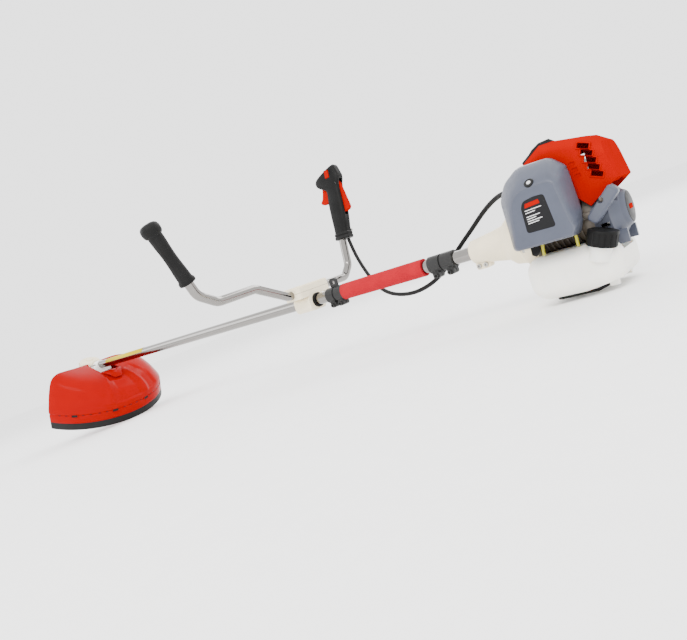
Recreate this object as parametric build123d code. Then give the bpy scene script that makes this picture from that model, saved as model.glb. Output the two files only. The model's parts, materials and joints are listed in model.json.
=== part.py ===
"""Petrol brush cutter with a straight shaft, bull-horn handlebars and a rear engine.

The model is built in the shaft frame, in millimetres: X runs along the shaft tube from the
cutting head to the engine, Y points to the user's right and Z up, with the tube's axis on X.
At the end everything is tipped by the angle at which the machine lies on a floor, so that the
guard and the tank stand both touch it, and the origin goes to the middle of the box's bottom.
"""
from build123d import *
from math import atan, cos, pi, radians, sin, tan
import os

# ---- driving dimensions ----
TUBE_R = 13.0
TUBE_BORE_R = 11.5
TUBE_FRONT = -41.0
TUBE_REAR = 1500.0
SHAFT_R = 4.0
RUNNING = 0.05            # radial clearance of a running fit
REST_TILT = 2.93          # degrees the machine tips, engine down, when it lies on a floor

HEAD_X = -66.0            # where the output axis crosses the tube axis
HEAD_TILT = 22.5          # degrees the output axis leans forward of square
PINION_TEETH = 14
GEAR_TEETH = 19
CONE_DISTANCE = 20.3
GEAR_FACE = 7.0
OUTPUT_R = 6.0
THREAD_R = 5.0
BLADE_R = 127.5
BLADE_BORE_R = 12.7
BLADE_TOP = -50.4         # heights along the output axis, zero on the tube axis
BLADE_BOTTOM = -52.0

GUARD_X = -50.0
GUARD_R = 217.5
GUARD_ARC = 146.0
GUARD_WALL = 3.0
RIM_BOTTOM = -104.0
SKIRT_BOTTOM = -127.0
SADDLE = (-20.0, 14.0)    # stretch of tube that the guard's bracket holds
SADDLE_HALF_WIDTH = 30.0

HANDLE_X = 1012.0         # plane of the handlebars
BAR_R = 10.0
BAR_Z = 28.0
LEFT_BAR = [(-8, 28), (-64, 28), (-154, 68), (-262, 66), (-306, 90), (-358, 234)]
LEFT_BENDS = [34, 34, 34, 30]
GRIP_SPAN = (6.0, 132.0)
RIGHT_BAR = [(8, 28), (158, 28), (187, 54), (193, 92), (213, 203)]
RIGHT_BENDS = [28, 26, 40]

CABLE_R = 4.5
CABLE_ROUTE = [
    (1031.4, 197.6, 118.8), (1040, 191, 80), (1065, 172, 40), (1094, 149, 8), (1124, 126, -17),
    (1162, 103, -37), (1206, 81, -47), (1254, 61, -50), (1300, 43, -44), (1342, 31, -31),
    (1380, 26, -8), (1416, 24, 20), (1452, 20, 44), (1490, 7, 68), (1526, -14, 82),
    (1557, -40, 86), (1582, -62, 80), (1604, -74, 67),
]

SLEEVE = (1123.0, 1339.0)
SLEEVE_R = 18.0
HARNESS_CLAMP = (1077.0, 1122.5)
CABLE_CLAMP = (1353.0, 1409.0)
CLAMP_R = 17.5

DRUM_R = 37.0
FLYWHEEL_R = 46.0
FLANGE_R = 52.0
LUG_R = 6.0
LUG_CIRCLE = 54.0
LUG_ANGLES = (40, 140, 200, 340)
CASE_R = 39.0
DECK_Z = 41.0
CYLINDER_X = 1632.0
CYLINDER_BORE_R = 20.0
CRANK_THROW = 16.0
ROD_LENGTH = 60.0
JOURNAL_R = 8.0
STARTER_FRONT = 1686.0
STARTER_R = 48.0
STARTER_REAR = 1733.0
STARTER_LUG_ANGLES = (62, 172, 300)
PULLEY_R = 28.0
ROPE_Z = 25.1
ROPE_R = 2.0
TANK_BOTTOM = -111.0
TANK_TOP = -36.0
TANK_HALF_WIDTH = 76.0
WIRE_R = 2.5
CARB_X = 1631.0
CARB_Y = -73.0

# ---- frames ----
LEAN = radians(HEAD_TILT)
HEAD = Plane(origin=(HEAD_X, 0, 0), x_dir=(cos(LEAN), 0, -sin(LEAN)), z_dir=(sin(LEAN), 0, cos(LEAN)))
GUARD = Plane(origin=(GUARD_X, 0, 0), x_dir=HEAD.x_dir, z_dir=HEAD.z_dir)
HANDLE = Plane(origin=(HANDLE_X, 193 + 41 * 20 / 111, 133.0), x_dir=(1, 0, 0), z_dir=(0, 20, 111))
FILLER = Plane(origin=(1689, -67, -52), x_dir=(0.925, 0, -0.38), z_dir=(0.38, 0, 0.925))
STARTER_GRIP = Plane(origin=(1715, -56, 21), x_dir=(0.731, 0, 0.682), z_dir=(0, -1, 0))
COVER_SCREW = ((1620, -96.8, 91.6), (0, 0.636, -0.771), 24)


# ---- shape helpers ----
def along_x(x0, x1, radius, y=0.0, z=0.0):
    """Cylinder along X from x0 to x1."""
    return Pos((x0 + x1) / 2, y, z) * Rot(0, 90, 0) * Cylinder(radius, x1 - x0)


def ring_x(x0, x1, outer, inner):
    return along_x(x0, x1, outer) - along_x(x0 - 1, x1 + 1, inner)


def upright(z0, z1, radius, x=0.0, y=0.0):
    """Cylinder along Z from z0 to z1."""
    return Pos(x, y, (z0 + z1) / 2) * Cylinder(radius, z1 - z0)


def pipe(z0, z1, outer, inner, x=0.0, y=0.0):
    return upright(z0, z1, outer, x, y) - upright(z0 - 1, z1 + 1, inner, x, y)


def across(y0, y1, radius, x=0.0, z=0.0):
    """Cylinder along Y from y0 to y1."""
    return Pos(x, (y0 + y1) / 2, z) * Rot(90, 0, 0) * Cylinder(radius, y1 - y0)


def rod(start, end, radius):
    """Cylinder between two points."""
    run = Vector(*end) - Vector(*start)
    base = Plane(origin=start, z_dir=run)
    return base * Cylinder(radius, run.length, align=(Align.CENTER, Align.CENTER, Align.MIN))


def block(x, y, z):
    """Box from its ranges along X, Y and Z."""
    middle = Pos(sum(x) / 2, sum(y) / 2, sum(z) / 2)
    return middle * Box(x[1] - x[0], y[1] - y[0], z[1] - z[0])


def soft_block(x, y, z, radius):
    """Box with every edge rounded."""
    return fillet(block(x, y, z).edges(), radius)


def outline(points):
    return make_face(Polyline(*points, close=True))


def turned(points):
    """Solid of revolution about X of an (x, radius) outline."""
    return revolve(outline(points), Axis.X, 360)


def spun(points):
    """Solid of revolution about Z of a (radius, z) outline."""
    return revolve(Plane.XZ * outline(points), Axis.Z, 360)


def side_profile(points, y0, y1):
    """An (x, z) outline pushed out from y0 to y1."""
    plane = Plane(origin=(0, y1, 0), x_dir=(1, 0, 0), z_dir=(0, -1, 0))
    return extrude(plane * outline(points), amount=y1 - y0)


def bent_bar(points, bends, radius):
    """Round bar along (y, z) points in the handlebars' plane, with one bend radius per corner."""
    path = FilletPolyline(*[(HANDLE_X, y, z) for y, z in points], radius=bends)
    return sweep(Plane(origin=path @ 0, z_dir=path % 0) * Circle(radius), path=path)


def corner_radii(points):
    """Bend radius for each corner of a free run: as large as its two runs allow."""
    radii = []
    for before, here, after in zip(points, points[1:], points[2:]):
        arriving = Vector(*here) - Vector(*before)
        leaving = Vector(*after) - Vector(*here)
        turn = radians(arriving.get_angle(leaving))
        radii.append(0.45 * min(arriving.length, leaving.length) / tan(turn / 2))
    return radii


def hose(points, radius):
    """Tube of straight runs joined by tangent arcs."""
    path = FilletPolyline(*points, radius=corner_radii(points))
    return sweep(Plane(origin=path @ 0, z_dir=path % 0) * Circle(radius), path=path)


def around_x(angles, radius, x0, x1, size):
    """Cylinders along X standing on a circle about the crank axis."""
    return [along_x(x0, x1, size, radius * cos(radians(a)), radius * sin(radians(a))) for a in angles]


# ---- screws: the seat of the head, the way it points, the length of its shank ----
def circle_screws(angles, radius, x, way, length):
    places = [(radius * cos(radians(a)), radius * sin(radians(a))) for a in angles]
    return [((x, y, z), (way, 0, 0), length) for y, z in places]


GUARD_SCREWS = [((x, y, 2.6), (0, 0, -1), 22) for x in (-12, 6) for y in (-23, 23)]
BAR_SCREWS = [((HANDLE_X + x, y, 36), (0, 0, -1), 24) for x in (-17, 17) for y in (-38, 44)]
BAND_SCREWS = [((x, -11, -22), (0, 1, 0), 22) for x in (1088, 1111, 1366, 1396)]
NOSE_SCREWS = [((x, -10, -27), (0, 1, 0), 20) for x in (1459, 1473)]
FLANGE_SCREWS = circle_screws(LUG_ANGLES, LUG_CIRCLE, 1568, 1, 22)
STARTER_SCREWS = circle_screws(STARTER_LUG_ANGLES, STARTER_R + 2, 1698, -1, 22)
HANDLE_SCREWS = [
    (tuple(HANDLE.from_local_coords(Vector(x, 12, z))), tuple(HANDLE.y_dir * -1), 20)
    for x, z in ((22, 8), (10, 104), (-2, 158))
]


def socket_screw(seat, way, length):
    """M5 socket screw with a hexagon socket in its head."""
    base = Plane(origin=seat, z_dir=way)
    head = base * Cylinder(4.25, 5, align=(Align.CENTER, Align.CENTER, Align.MAX))
    shank = base * Cylinder(2.5, length, align=(Align.CENTER, Align.CENTER, Align.MIN))
    key = extrude(base.offset(-5) * RegularPolygon(2.3, 6), amount=2.5)
    return head + shank - key


def screw_room(screws):
    """What the screws take out of the pieces they pass through, with room for the heads."""
    room = []
    for seat, way, length in screws:
        base = Plane(origin=seat, z_dir=way)
        room.append(base * Cylinder(4.6, 12, align=(Align.CENTER, Align.CENTER, Align.MAX)))
        room.append(base * Cylinder(2.5, length, align=(Align.CENTER, Align.CENTER, Align.MIN)))
    return room


# ---- cutting head ----
def bevel_angles():
    """Pitch cone angles of the pinion and of the gear."""
    between = pi / 2 + LEAN
    pinion = atan(sin(between) / (GEAR_TEETH / PINION_TEETH + cos(between)))
    return pinion, between - pinion


def bevel_gear(teeth, cone, phase):
    """Straight bevel gear about +Z, with its cone's tip at the origin."""
    module = 2 * CONE_DISTANCE * sin(cone) / teeth
    rise, root = 0.72 * module, 0.95 * module
    thickness = 0.40 * pi * module
    flank = tan(radians(20))

    def point(distance, height, across_tooth):
        scale = distance / CONE_DISTANCE
        radius = distance * sin(cone) + height * scale * cos(cone)
        return (radius, across_tooth * scale, distance * cos(cone) - height * scale * sin(cone))

    def section(distance):
        base = thickness / 2 + (root + 0.4) * flank
        tip = thickness / 2 - rise * flank
        corners = [(-root - 0.4, -base), (rise, -tip), (rise, tip), (-root - 0.4, base)]
        return Face(Wire.make_polygon([point(distance, h, w) for h, w in corners]))

    toe = CONE_DISTANCE - GEAR_FACE
    tooth = Solid.make_loft([section(toe).outer_wire(), section(CONE_DISTANCE).outer_wire()], True)
    inner, _, top = point(toe, -root, 0)
    outer, _, heel = point(CONE_DISTANCE, -root, 0)
    gear = spun([(0, top), (inner, top), (outer, heel), (outer - 1.5, heel + 3), (0, heel + 3)])
    for index in range(teeth):
        gear += Rot(0, 0, phase + 360 * index / teeth) * tooth
    return gear


def input_pinion():
    """Bevel pinion with a hollow shank that takes the drive shaft's square end."""
    axis = Plane(origin=(HEAD_X, 0, 0), x_dir=(0, 0, -1), z_dir=(1, 0, 0))
    gear = axis * bevel_gear(PINION_TEETH, bevel_angles()[0], 0)
    shank = along_x(HEAD_X + 15, -24, 6)
    return gear + shank - along_x(-36, -20, SHAFT_R)


def output_shaft():
    """Bevel gear on the output shaft, threaded at its lower end."""
    axis = Plane(origin=(HEAD_X, 0, 0), x_dir=HEAD.x_dir, z_dir=HEAD.z_dir * -1)
    gear = axis * bevel_gear(GEAR_TEETH, bevel_angles()[1], 180 / GEAR_TEETH)
    top = HEAD * upright(-8, 27, 4)
    journal = HEAD * upright(-47, -8, OUTPUT_R)
    thread = HEAD * upright(-69, -47, THREAD_R)
    return gear + top + journal + thread


def gear_case():
    """Cast case: head about the output axis, neck round the tube, boss for the lower bearing."""
    head = fillet(upright(-30, 30, 33).edges().filter_by(GeomType.CIRCLE), 9)
    boss = upright(-43, -28, 22)
    top_plug = upright(29, 33, 11)
    hollow = upright(-17, 10, 24)
    bores = upright(-27, -16, 15.5) + upright(-45, -25, OUTPUT_R + 1) + upright(9, 28, 12)
    case = HEAD * (head + boss + top_plug) + along_x(HEAD_X, -22, 19.5)
    for angle in (-60, 0, 60, 120, 180, 240):
        case += HEAD * (Rot(0, 0, angle) * block((20, 35.5), (-1.5, 1.5), (-24, 24)))
    return case - HEAD * (hollow + bores) - along_x(-51, 0, TUBE_R) - along_x(-62, -47, 15.9)


def blade_flange():
    """Upper flange: a collar that centres the blade's arbor hole."""
    return HEAD * (upright(BLADE_TOP, -46, 27) + upright(BLADE_BOTTOM, -50, BLADE_BORE_R - 0.05)
                   - upright(-53, -45, OUTPUT_R - 1) - upright(-47, -45, OUTPUT_R))


def cutting_blade():
    """Three-tooth blade: each tooth rises in a long curve and drops back in a hook."""
    root_r = 50.0
    edges = []
    for turn in (0, 120, 240):
        def spot(radius, angle):
            return (radius * cos(radians(angle + turn)), radius * sin(radians(angle + turn)))
        edges.append(ThreePointArc(spot(root_r, 0), spot(98, 46), spot(BLADE_R, 84)))
        edges.append(Line(spot(BLADE_R, 84), spot(117, 93)))
        edges.append(ThreePointArc(spot(117, 93), spot(72, 103), spot(root_r, 120)))
    blank = Pos(0, 0, BLADE_BOTTOM) * extrude(make_face(edges), amount=BLADE_TOP - BLADE_BOTTOM)
    blank -= upright(-60, -40, BLADE_BORE_R)
    for turn in (60, 180, 300):
        blank -= Rot(0, 0, turn) * upright(-60, -40, 6, x=36)
    return HEAD * blank


def blade_clamp():
    """Lower flange with the stabiliser cup that lets the blade skid over the ground."""
    cup = spun([(0, -52), (30, -52), (30, -54), (38, -58), (39, -61), (37, -61), (28, -56), (0, -56)])
    return HEAD * (cup - upright(-70, -50, THREAD_R))


def blade_nut():
    body = Pos(0, 0, -67) * extrude(RegularPolygon(9.8, 6), amount=9)
    washer = upright(-58, -56, 12)
    return HEAD * (body + washer - upright(-70, -50, THREAD_R))


# ---- guard ----
def guard_sector(points):
    """A (radius, height) outline swept round the guard's arc."""
    sweep_face = Plane.XZ * outline(points)
    return GUARD * (Rot(0, 0, -GUARD_ARC / 2) * revolve(sweep_face, Axis.Z, GUARD_ARC))


def guard_shield():
    """Hood with an upright rim, and a channel under the tube that seats the bracket."""
    hood = guard_sector([
        (26, 20), (150, 22), (182, 10), (207, -34), (GUARD_R, -52), (GUARD_R, RIM_BOTTOM),
        (GUARD_R - 3, RIM_BOTTOM), (GUARD_R - 3, -53), (204.4, -35.5), (180, 7.4), (149, 19), (26, 17),
    ])
    half = SADDLE_HALF_WIDTH + 1
    hood -= block((-90, 70), (-half, half), (-24.5, 60))
    tray = block((SADDLE[0] - 4, 66), (-half - GUARD_WALL, half + GUARD_WALL), (-27.5, -10))
    tray -= block((-90, 70), (-half, half), (-24.5, 60))
    above = guard_sector([(0, 22), (150, 22), (182, 10), (260, -120), (260, 90), (0, 90)])
    hood += tray - above
    for angle in (-50, -17, 14, 47):
        hood -= GUARD * (Rot(0, 0, angle) * block((205, 225), (-9, 9), (-82, -74)))
    return hood


def guard_skirt():
    """Skirt that clips inside the rim with four hooks and carries on below it."""
    skirt = guard_sector([
        (GUARD_R - 6.4, -84), (GUARD_R - 3.2, -84), (GUARD_R - 3.2, RIM_BOTTOM - 0.2),
        (GUARD_R, RIM_BOTTOM - 0.2), (GUARD_R, SKIRT_BOTTOM), (GUARD_R - 6.4, SKIRT_BOTTOM),
    ])
    for angle in (-50, -17, 14, 47):
        hook = block((GUARD_R - 6.4, GUARD_R - 3.2), (-8, 8), (-85, -75))
        hook += block((GUARD_R - 6.4, GUARD_R - 0.5), (-8, 8), (-81, -75.5))
        skirt += GUARD * (Rot(0, 0, angle) * hook)
    return skirt


def guard_bracket():
    """Saddle block under the tube and the strap over it."""
    half = SADDLE_HALF_WIDTH
    saddle = block(SADDLE, (-half, half), (-24, 0)) - along_x(-30, 40, TUBE_R)
    saddle = fillet(saddle.edges().filter_by(Axis.Z), 4)
    strap = ring_x(SADDLE[0] + 3, SADDLE[1] - 3, TUBE_R + 2.6, TUBE_R)
    strap += block((SADDLE[0] + 3, SADDLE[1] - 3), (-half + 1, half - 1), (0, 2.6)) - along_x(-30, 40, TUBE_R)
    strap -= block((-40, 50), (-40, 40), (-30, 0))
    return [saddle - screw_room(GUARD_SCREWS), strap - screw_room(GUARD_SCREWS)]


# ---- shaft ----
def shaft_tube():
    return ring_x(TUBE_FRONT, TUBE_REAR, TUBE_R, TUBE_BORE_R)


def drive_shaft():
    return along_x(-36, 1514, SHAFT_R)


def shaft_bushes():
    return [ring_x(x - 12, x + 12, TUBE_BORE_R, SHAFT_R + RUNNING) for x in (250, 550, 850, 1150, 1420)]


# ---- handlebars ----
def bar_room():
    """Room for the two bars through the clamp."""
    return across(-60, -8, BAR_R, HANDLE_X, BAR_Z) + across(8, 70, BAR_R, HANDLE_X, BAR_Z)


def handlebar_clamp():
    """Lower body: wide at the bars, narrow round the tube."""
    x = (HANDLE_X - 25, HANDLE_X + 25)
    wide = fillet(block(x, (-53, 60), (14, BAR_Z - 0.3)).edges().filter_by(Axis.Z), 9)
    stem = fillet(block(x, (-28, 28), (-21, 16)).edges().filter_by(Axis.X), 12)
    return wide + stem - along_x(900, 1100, TUBE_R) - bar_room() - screw_room(BAR_SCREWS)


def handlebar_cap():
    """Domed cap that clamps both bars."""
    x = (HANDLE_X - 25, HANDLE_X + 25)
    cap = fillet(block(x, (-53, 60), (BAR_Z + 0.3, 44)).edges().filter_by(Axis.Z), 9)
    top = cap.faces().sort_by(Axis.Z)[-1]
    return fillet(top.edges(), 5) - bar_room() - screw_room(BAR_SCREWS)


def shaft_damper():
    """Rubber ring in the clamp's rear mouth."""
    return ring_x(HANDLE_X + 25, HANDLE_X + 31, 17, TUBE_R)


def left_handlebar():
    return bent_bar(LEFT_BAR, LEFT_BENDS, BAR_R)


def right_handlebar():
    return bent_bar(RIGHT_BAR, RIGHT_BENDS, BAR_R)


def left_grip():
    """Rubber grip over the bar's end, flared at both ends."""
    foot, tip = Vector(HANDLE_X, *LEFT_BAR[-2]), Vector(HANDLE_X, *LEFT_BAR[-1])
    along = (tip - foot).normalized()
    start = tip - along * (GRIP_SPAN[1] - 8)
    frame = Plane(origin=start, x_dir=(1, 0, 0), z_dir=along)
    shape = spun([
        (0, 0), (16, 0), (17.5, 3), (17.5, 7), (14.5, 12), (14, 60), (14.5, 108), (17, 116),
        (19, 122), (19, 130), (16, 134), (0, 134),
    ])
    bore = upright(-1, GRIP_SPAN[1] - 8, BAR_R)
    return frame * (shape - bore)


# ---- throttle handle, in its own frame: x to the rear, z up the bar ----
SHELL = [
    (-13, -12), (-13, 88), (-10, 121), (-30, 139), (-41, 151), (-40, 158), (18, 181), (26, 180),
    (37, 148), (30, 123), (31, 100), (31, -12),
]
MECHANISM = [
    (-9, 90), (-6, 123), (-26, 142), (-35, 153), (18, 173), (31, 148), (25, 123), (26, 90),
]
TRIGGER_PIVOT = (-4, 128)
LOCKOUT_PIVOT = (24, 132)


def handle_body():
    """Both shells as one, with the bar's bore, the mechanism's hollow and the lever slots."""
    solid = side_profile(SHELL, -16, 16)
    solid = fillet(solid.edges().filter_by(Axis.Y), 3)
    rims = solid.faces().sort_by(Axis.Y)
    solid = fillet(rims[0].edges() + rims[-1].edges(), 6)
    solid -= upright(-14, 72, BAR_R) + side_profile(MECHANISM, -12.5, 12.5)
    solid -= block((-60, 1), (-6.4, 6.4), (85.5, 141))
    solid -= block((12, 60), (-5.6, 5.6), (47, 141))
    solid -= block((-1, 13), (-17, -9.5), (149.5, 170.5))
    solid -= across(-14, 14, 2, TRIGGER_PIVOT[0], TRIGGER_PIVOT[1])
    return solid - across(-14, 14, 2, LOCKOUT_PIVOT[0], LOCKOUT_PIVOT[1])


def handle_half(side):
    keep = block((-80, 80), (0, 30) if side > 0 else (-30, 0), (-40, 200))
    return HANDLE * (handle_body() & keep) - screw_room(HANDLE_SCREWS)


def throttle_housing():
    return handle_half(-1)


def throttle_housing_cover():
    return handle_half(1)


def throttle_trigger():
    """Finger trigger hanging from its pivot."""
    shape = side_profile([
        (-26, 137), (-29, 118), (-33, 106), (-40, 98), (-37, 92), (-17, 90), (-9, 112), (1, 123),
        (2, 130), (-3, 134), (-12, 137),
    ], -6, 6)
    shape = fillet(shape.edges().filter_by(Axis.Y), 1.5)
    return HANDLE * (shape - across(-9, 9, 2 + RUNNING, TRIGGER_PIVOT[0], TRIGGER_PIVOT[1]))


def throttle_lockout():
    """Palm lever that has to be squeezed before the trigger moves."""
    shape = side_profile([
        (20, 136), (27, 138), (31, 130), (47, 64), (44, 58), (30, 54), (27, 60), (20, 124),
    ], -5, 5)
    shape = fillet(shape.edges().filter_by(Axis.Y), 1.2)
    return HANDLE * (shape - across(-9, 9, 2 + RUNNING, LOCKOUT_PIVOT[0], LOCKOUT_PIVOT[1]))


def stop_button():
    key = soft_block((-0.5, 12.5), (-18.5, -12.5), (150, 170), 1.5)
    return HANDLE * key


def throttle_pins():
    return [HANDLE * across(-14, 14, 2, x, z) for x, z in (TRIGGER_PIVOT, LOCKOUT_PIVOT)]


def throttle_cable():
    return hose(CABLE_ROUTE, CABLE_R)


# ---- harness area ----
def hip_sleeve():
    return ring_x(*SLEEVE, SLEEVE_R, TUBE_R)


def split_band(span):
    """Clamp of two bands round the tube with a pinch boss below each."""
    x0, x1 = span
    middle = (x0 + x1) / 2
    band = ring_x(x0, x1, CLAMP_R, TUBE_R) - ring_x(middle - 1.5, middle + 1.5, 30, CLAMP_R - 1.5)
    for boss in (x0 + 4, x1 - 19):
        lug = block((boss, boss + 15), (-11, 11), (-28, -12))
        band += fillet(lug.edges().filter_by(Axis.Y), 5)
    band -= along_x(x0 - 5, x1 + 5, TUBE_R)
    return band - block((x0 - 5, x1 + 5), (-0.8, 0.8), (-40, 0)) - screw_room(BAND_SCREWS)


def harness_clamp():
    """Clamp with the eye that the shoulder harness hooks into."""
    eye = fillet(block((1090, 1110), (-3, 3), (14, 36)).edges().filter_by(Axis.Y), 6)
    eye -= across(-5, 5, 5, 1100, 27)
    return split_band(HARNESS_CLAMP) + (eye - along_x(1080, 1120, TUBE_R))


def cable_clamp():
    """Clamp whose clip on the far side holds the throttle cable."""
    band = split_band(CABLE_CLAMP)
    clip = block((1376, 1386), (14, 33), (-15, 4))
    clip = fillet(clip.edges().filter_by(Axis.X), 4) - along_x(1370, 1390, TUBE_R)
    return band + clip - hose(CABLE_ROUTE[8:13], CABLE_R + 0.1)


# ---- clutch ----
def clutch_housing():
    """Cone from the tube to the engine: tube socket, bearing seat, drum bay, flywheel bay."""
    body = turned([
        (1449, 0), (1449, 20), (1452, 22.5), (1497, 28.5), (1520, 33), (1533, 43.5), (1552, 46.5),
        (1557, FLANGE_R), (1582, FLANGE_R), (1582, 0),
    ])
    lugs = around_x(LUG_ANGLES, LUG_CIRCLE, 1568, 1582, LUG_R)
    boss = fillet(block((1452, 1480), (-10, 10), (-34, -18)).edges().filter_by(Axis.Y), 5)
    body += lugs + [boss]
    body -= turned([
        (1440, 0), (1440, TUBE_R), (TUBE_REAR, TUBE_R), (TUBE_REAR, 12), (1502, 12), (1502, 17.5),
        (1514, 17.5), (1514, 24), (1534, 24), (1534, 40.5), (1555, 40.5), (1555, 49), (1590, 49),
        (1590, 0),
    ])
    body -= block((1440, 1485), (-0.8, 0.8), (-40, -10))
    body -= block((1553, 1590), (-21, 21), (46, 70))
    for angle in range(60, 121, 12):
        body -= along_x(1541, 1558, 2.2, 43.7 * cos(radians(angle)), 43.7 * sin(radians(angle)))
    return body - screw_room(NOSE_SCREWS + FLANGE_SCREWS)


def clutch_drum():
    """Cup on a hollow hub that takes the drive shaft's end."""
    web = ring_x(1536, 1539.5, 39, SHAFT_R)
    rim = ring_x(1536, 1556, 39, DRUM_R)
    hub = along_x(1501, 1537, 7.5 - RUNNING)
    return web + rim + hub - along_x(1490, 1514, SHAFT_R)


def clutch_shoes():
    """Two shoes on posts, held in by springs until the flywheel spins fast enough."""
    posts = [along_x(1541, 1557, 4, y, 0) for y in (-24, 24)]
    springs = [across(-13, 13, 1.6, 1547, z) for z in (-9, 9)]
    room = [along_x(1540, 1560, 4.2, y, 0) for y in (-24, 24)] + [across(-14, 14, 1.8, 1547, z) for z in (-9, 9)]
    whole = ring_x(1541, 1554, DRUM_R - 1, 15) - room
    shoes = [whole & block((1530, 1560), (-40, 40), span) for span in ((3, 40), (-40, -3))]
    return shoes + posts + springs


def flywheel():
    """Magneto flywheel with fan blades on its front face."""
    wheel = along_x(1557, 1568, FLYWHEEL_R) + along_x(1568, 1584, 12)
    wheel -= along_x(1540, 1590, 6)
    for index in range(14):
        blade = block((1568, 1579), (20, FLYWHEEL_R - 1), (-1.5, 1.5))
        wheel += Rot(360 * index / 14, 0, 0) * blade
    return wheel


# ---- engine core ----
def crankcase():
    """Barrel round the crank, flanges for the housing and the starter, deck for the cylinder."""
    case = along_x(1590, 1674, CASE_R) + along_x(1582, 1590, FLANGE_R) + along_x(1674, 1686, STARTER_R)
    case += block((1602, 1662), (-30, 30), (10, DECK_Z))
    case += around_x(LUG_ANGLES, LUG_CIRCLE, 1582, 1592, LUG_R)
    case += around_x(STARTER_LUG_ANGLES, STARTER_R + 2, 1674, 1686, LUG_R)
    for x in range(1598, 1672, 9):
        case += ring_x(x, x + 2.5, CASE_R + 3, CASE_R - 1) & block((x - 1, x + 4), (-60, 60), (-60, 8))
    case -= along_x(1610, 1654, 31) + along_x(1570, 1700, JOURNAL_R + 3)
    case -= along_x(1597, 1612, 20) + along_x(1652, 1667, 20)
    case -= along_x(1680, 1690, 24) + along_x(1575, 1586, 13)
    case -= upright(0, DECK_Z + 1, 26.5, CYLINDER_X) + block((1616, 1646), (-60, -20), (20, DECK_Z + 1))
    return case - screw_room(FLANGE_SCREWS + STARTER_SCREWS)


def crankshaft():
    """Front and rear half cranks; the crank pin between them is with the connecting rod."""
    front = along_x(1556, 1590, 6) + along_x(1590, 1613, JOURNAL_R) + along_x(1613, 1625, 29)
    rear = along_x(1639, 1651, 29) + along_x(1651, 1672, JOURNAL_R) + along_x(1672, 1700, 6)
    claws = ring_x(1690, 1696, 20, 5) + block((1696, 1699), (10, 18), (-3, 3))
    claws += block((1696, 1699), (-18, -10), (-3, 3))
    return [front, rear + claws]


def cylinder():
    """Finned barrel and head with an intake stub on the left and an exhaust port on the right."""
    barrel = upright(DECK_Z, 106, 26, CYLINDER_X) + upright(10, DECK_Z, 26, CYLINDER_X)
    barrel += block((1606, 1658), (-29, 29), (DECK_Z, 45))
    for level in range(7):
        z = 51 + 8 * level
        fin = fillet(block((1591, 1675), (-42, 42), (z, z + 2.4)).edges().filter_by(Axis.Z), 16)
        barrel += fin
    barrel += block((1616, 1646), (-56, -20), (20, 46)) + block((1612, 1656), (20, 46), (56, 88))
    barrel -= upright(0, 100, CYLINDER_BORE_R, CYLINDER_X)
    barrel -= across(-60, -15, 8, CARB_X, 32) + across(15, 50, 9, 1634, 72)
    barrel -= along_x(1560, 1700, 31.2) & block((1560, 1700), (-60, 60), (-40, 31))
    plug = Plane(origin=(1630, 0, 98), z_dir=(-0.32, 0, 0.95))
    return barrel - plug * Cylinder(5, 30)


def piston():
    crown = CRANK_THROW + ROD_LENGTH + 21
    body = upright(crown - 34, crown, CYLINDER_BORE_R - RUNNING, CYLINDER_X)
    body -= upright(crown - 40, crown - 6, 16.5, CYLINDER_X)
    for groove in (crown - 5, crown - 9):
        body -= pipe(groove, groove + 1.5, 25, CYLINDER_BORE_R - 1.5, CYLINDER_X)
    pin = along_x(CYLINDER_X - 17, CYLINDER_X + 17, 4.5, 0, CRANK_THROW + ROD_LENGTH)
    return [body, pin & upright(0, 200, 16.4, CYLINDER_X)]


def connecting_rod():
    """Rod with the crank pin in its big end."""
    top = CRANK_THROW + ROD_LENGTH
    eye = along_x(1626, 1638, 11, 0, CRANK_THROW) + along_x(1627, 1637, 8, 0, top)
    eye += block((1628.5, 1635.5), (-4, 4), (CRANK_THROW, top))
    eye -= along_x(1620, 1640, 4.5 + RUNNING, 0, top) + along_x(1620, 1640, 5 + RUNNING, 0, CRANK_THROW)
    return [eye, along_x(1625.3, 1638.7, 5, 0, CRANK_THROW)]


def ball_bearings():
    """Bearings of the gear case, the clutch drum and the crankshaft, all of one make-up."""
    inside = RUNNING
    return [
        ring_x(-46.6, -41.2, TUBE_R, 6 + inside),
        HEAD * pipe(20.5, 27.5, 12, 4 + inside),
        HEAD * pipe(-26, -18, 15.5, OUTPUT_R + inside),
        ring_x(1502, 1514, 17.5, 7.5),
        ring_x(1598, 1610, 20, JOURNAL_R + inside),
        ring_x(1654, 1666, 20, JOURNAL_R + inside),
    ]


def spark_plug():
    axis = Plane(origin=(1630, 0, 98), z_dir=(-0.32, 0, 0.95))
    hexagon = Pos(0, 0, 15.2) * extrude(RegularPolygon(9, 6), amount=7)
    return axis * (upright(2, 15.2, 5) + hexagon + upright(22, 34, 5))


def plug_cap():
    """Rubber boot over the plug, its lead side turned to the front."""
    axis = Plane(origin=(1630, 0, 98), z_dir=(-0.32, 0, 0.95))
    boot = axis * fillet(upright(23, 45, 12).edges().filter_by(GeomType.CIRCLE), 5)
    boot += rod((1616, 0, 133), (1592, 0, 118), 8.5)
    plug = axis * (upright(0, 34, 5.1) + Pos(0, 0, 15) * extrude(RegularPolygon(9.2, 6), amount=8))
    return boot - plug


def ignition_coil():
    core = block((1557, 1571), (-16, 16), (48, 56)) - along_x(1550, 1590, FLYWHEEL_R + 1.2)
    body = fillet(block((1555, 1575), (-13, 13), (56, 76)).edges().filter_by(Axis.X), 4)
    return core + body


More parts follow.
